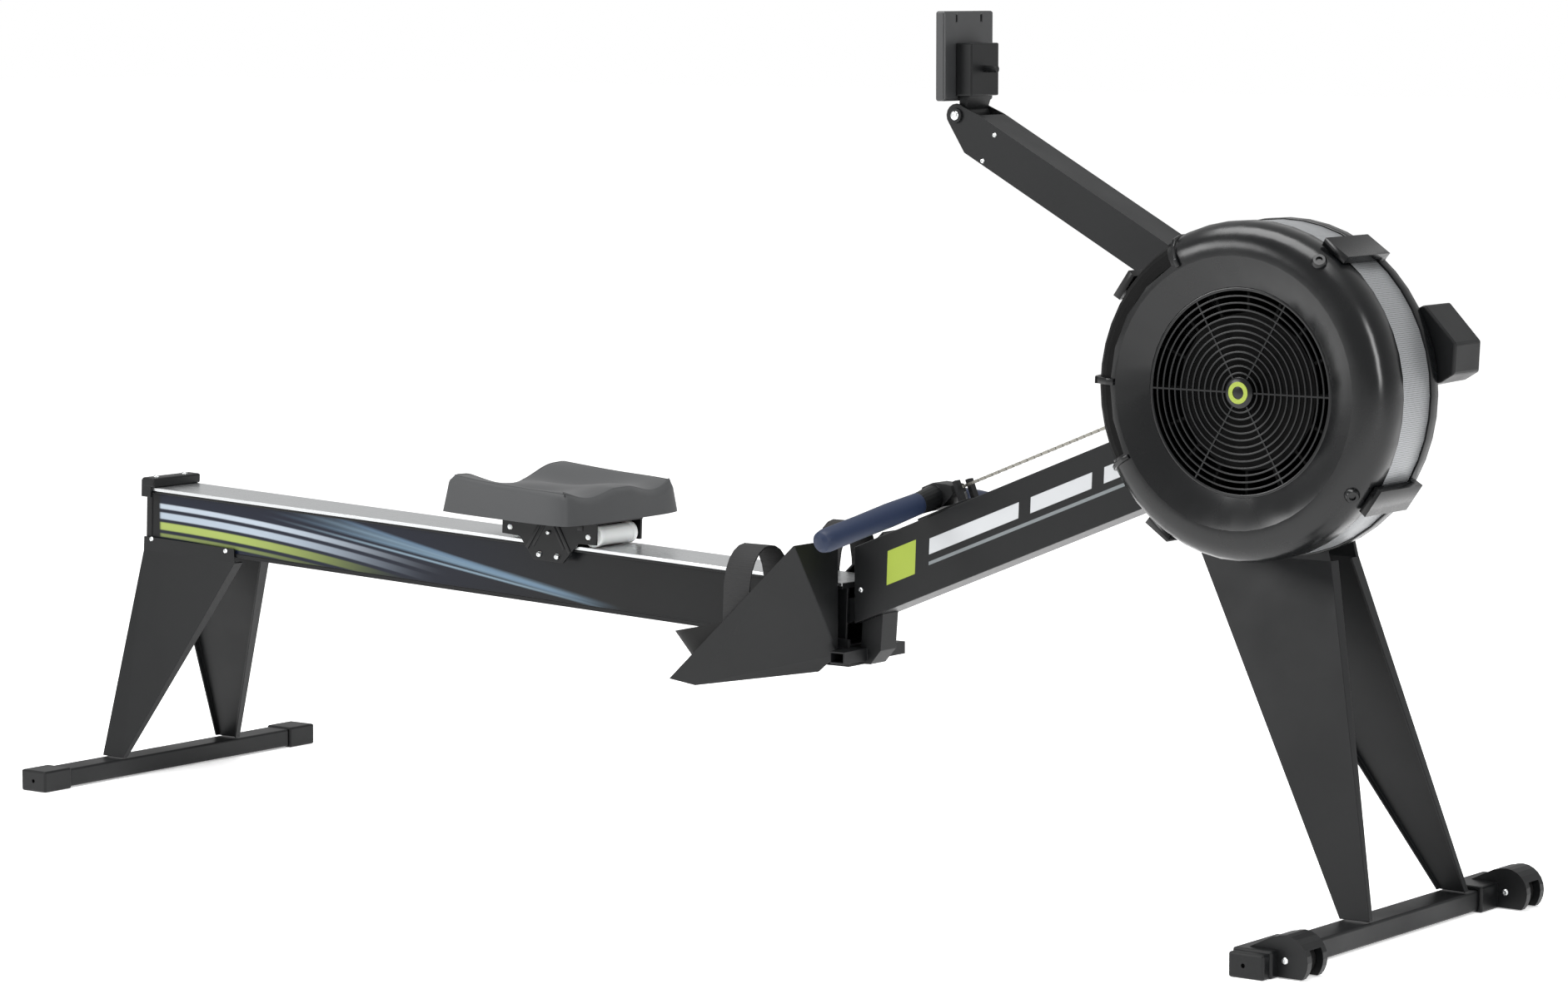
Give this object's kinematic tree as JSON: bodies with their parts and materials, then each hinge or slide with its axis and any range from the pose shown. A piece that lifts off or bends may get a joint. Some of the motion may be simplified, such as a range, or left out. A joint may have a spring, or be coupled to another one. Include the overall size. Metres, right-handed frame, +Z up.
{
  "type": "rowing machine",
  "caption": "Air-resistance rowing machine: long sloping rail with a rolling seat, footboards with straps, chain handle, caged fan beside a rising beam, folding monitor arm, wide feet.",
  "frame": {"origin": "on the floor, at the middle of the bounding box", "axes": "+X along the machine from the rear foot to the fan end, +Y to the rower's left when facing the fan, +Z up"},
  "size_m": [2.3609, 0.7146, 1.211],
  "materials": {
    "steel_black": "satin",
    "rail_black": "satin black anodised",
    "track_steel": "satin",
    "plastic_black": "fine texture",
    "rubber_black": "matt",
    "roller_white": "smooth",
    "seat_grey": "satin, moulded",
    "grip_blue": "satin",
    "band_grey": "fine perforation",
    "nickel": "nickel plated",
    "webbing": "woven"
  },
  "bodies": {
    "frame": {"arm_clevis": "steel_black", "arm_pivot_pin": "nickel", "axle_bearing_left": "nickel", "axle_bearing_right": "nickel", "beam_end_cap": "plastic_black", "bungee_cord": "rubber_black", "chain_guide_bracket": "steel_black", "chain_return": "nickel", "fan_band": "band_grey", "fan_cover_inner": "plastic_black", "fan_cover_outer": "plastic_black", "fan_grille": "plastic_black", "footboard_left": "plastic_black", "footboard_right": "plastic_black", "front_crossbar": "steel_black", "front_fitting_left": "plastic_black", "front_fitting_right": "plastic_black", "front_leg_left": "steel_black", "front_leg_right": "steel_black", "handle_hook": "steel_black", "joint_bracket": "steel_black", "main_beam": "steel_black", "rail": "rail_black", "rail_splice": "steel_black", "rail_track": "track_steel", "rear_crossbar": "steel_black", "rear_end_plate": "plastic_black", "rear_foot_cap_left": "plastic_black", "rear_foot_cap_right": "plastic_black", "rear_leg_left": "steel_black", "rear_leg_right": "steel_black", "rear_stop": "plastic_black", "strap_left": "webbing", "strap_right": "webbing"},
    "seat": {"seat_pad": "seat_grey", "seat_carriage": "plastic_black"},
    "roller_rear": {"seat_roller_rear": "roller_white"},
    "roller_front": {"seat_roller_front": "roller_white"},
    "guide_left_rear": {"guide_roller_left_rear": "roller_white"},
    "guide_left_front": {"guide_roller_left_front": "roller_white"},
    "guide_right_rear": {"guide_roller_right_rear": "roller_white"},
    "guide_right_front": {"guide_roller_right_front": "roller_white"},
    "flywheel": {"flywheel": "track_steel", "flywheel_axle": "nickel"},
    "chain_guide": {"chain_guide": "plastic_black"},
    "handle": {"handle_core": "plastic_black", "grip_left": "grip_blue", "grip_right": "grip_blue", "chain_run": "nickel"},
    "sprocket": {"sprocket": "nickel"},
    "return_pulley": {"return_pulley": "plastic_black"},
    "damper": {"damper": "plastic_black"},
    "monitor_arm": {"monitor_arm": "steel_black", "monitor_pivot_bolt": "nickel"},
    "monitor_head": {"monitor_bracket": "plastic_black", "monitor_plate": "steel_black"},
    "heel_cup_left": {"heel_cup_left": "rubber_black"},
    "heel_cup_right": {"heel_cup_right": "rubber_black"},
    "transport_wheel_left": {"transport_wheel_left": "rubber_black"},
    "transport_wheel_right": {"transport_wheel_right": "rubber_black"}
  },
  "joints": [
    {"name": "seat_slide", "type": "slide", "parent": "frame", "child": "seat", "axis": [0.9993, 0, -0.0384], "range_m": [-0.7, 0.25]},
    {"name": "seat_roller_rear_turn", "type": "hinge", "parent": "seat", "child": "roller_rear", "pos_m": [-0.40041, 0.04825, 0.44194], "axis": [0, 1, 0], "range_deg": [-2436, 874]},
    {"name": "seat_roller_front_turn", "type": "hinge", "parent": "seat", "child": "roller_front", "pos_m": [-0.25052, 0.04825, 0.43618], "axis": [0, 1, 0], "range_deg": [-2436, 874]},
    {"name": "guide_roller_left_rear_turn", "type": "hinge", "parent": "seat", "child": "guide_left_rear", "pos_m": [-0.34374, 0.08945, 0.40614], "axis": [0, 1, 0], "range_deg": [-2052, 5735]},
    {"name": "guide_roller_left_front_turn", "type": "hinge", "parent": "seat", "child": "guide_left_front", "pos_m": [-0.30977, 0.08945, 0.40484], "axis": [0, 1, 0], "range_deg": [-2052, 5735]},
    {"name": "guide_roller_right_rear_turn", "type": "hinge", "parent": "seat", "child": "guide_right_rear", "pos_m": [-0.34374, 0.00705, 0.40614], "axis": [0, 1, 0], "range_deg": [-2052, 5735]},
    {"name": "guide_roller_right_front_turn", "type": "hinge", "parent": "seat", "child": "guide_right_front", "pos_m": [-0.30977, 0.00705, 0.40484], "axis": [0, 1, 0], "range_deg": [-2052, 5735]},
    {"name": "flywheel_spin", "type": "hinge", "parent": "frame", "child": "flywheel", "pos_m": [0.9345, -0.05175, 0.718], "axis": [0, 1, 0], "continuous": true},
    {"name": "chain_lift", "type": "hinge", "parent": "frame", "child": "chain_guide", "pos_m": [0.6855, 0.04825, 0.6694], "axis": [0, 1, 0], "range_deg": [0, 26]},
    {"name": "handle_pull", "type": "slide", "parent": "chain_guide", "child": "handle", "axis": [-0.9265, 0, -0.3762], "range_m": [0, 0.74], "stiffness_N_per_m": 15, "springref_m": -0.8},
    {"name": "sprocket_turn", "type": "hinge", "parent": "frame", "child": "sprocket", "pos_m": [0.9345, 0.04825, 0.718], "axis": [0, 1, 0], "range_deg": [-1169, 0]},
    {"name": "return_pulley_turn", "type": "hinge", "parent": "frame", "child": "return_pulley", "pos_m": [0.28533, 0.04825, 0.41733], "axis": [0, 1, 0], "range_deg": [0, 896]},
    {"name": "damper_turn", "type": "hinge", "parent": "frame", "child": "damper", "pos_m": [0.9345, -0.09175, 0.718], "axis": [0, 1, 0], "range_deg": [-20, 46]},
    {"name": "monitor_arm_fold", "type": "hinge", "parent": "frame", "child": "monitor_arm", "pos_m": [0.8955, 0.04825, 0.781], "axis": [0, 1, 0], "range_deg": [-30, 40]},
    {"name": "monitor_tilt", "type": "hinge", "parent": "monitor_arm", "child": "monitor_head", "pos_m": [0.3915, 0.04825, 1.067], "axis": [0, 1, 0], "range_deg": [-25, 25]},
    {"name": "heel_cup_slide_left", "type": "slide", "parent": "frame", "child": "heel_cup_left", "axis": [0.7314, 0, 0.682], "range_m": [-0.025, 0.02]},
    {"name": "heel_cup_slide_right", "type": "slide", "parent": "frame", "child": "heel_cup_right", "axis": [0.7314, 0, 0.682], "range_m": [-0.025, 0.02]},
    {"name": "transport_wheel_spin_left", "type": "hinge", "parent": "frame", "child": "transport_wheel_left", "pos_m": [1.1383, 0.27525, 0.0233], "axis": [0, 1, 0], "continuous": true},
    {"name": "transport_wheel_spin_right", "type": "hinge", "parent": "frame", "child": "transport_wheel_right", "pos_m": [1.1383, -0.30375, 0.0233], "axis": [0, 1, 0], "continuous": true}
  ],
  "couplings": [
    {"joint": "seat_roller_rear_turn", "follows": "seat_slide", "rad_per_m": 60.606},
    {"joint": "seat_roller_front_turn", "follows": "seat_slide", "rad_per_m": 60.606},
    {"joint": "guide_roller_left_rear_turn", "follows": "seat_slide", "rad_per_m": -142.86},
    {"joint": "guide_roller_left_front_turn", "follows": "seat_slide", "rad_per_m": -142.86},
    {"joint": "guide_roller_right_rear_turn", "follows": "seat_slide", "rad_per_m": -142.86},
    {"joint": "guide_roller_right_front_turn", "follows": "seat_slide", "rad_per_m": -142.86},
    {"joint": "chain_lift", "follows": "handle_pull", "rad_per_m": 0.6},
    {"joint": "sprocket_turn", "follows": "handle_pull", "rad_per_m": -27.451},
    {"joint": "return_pulley_turn", "follows": "handle_pull", "rad_per_m": 21}
  ]
}
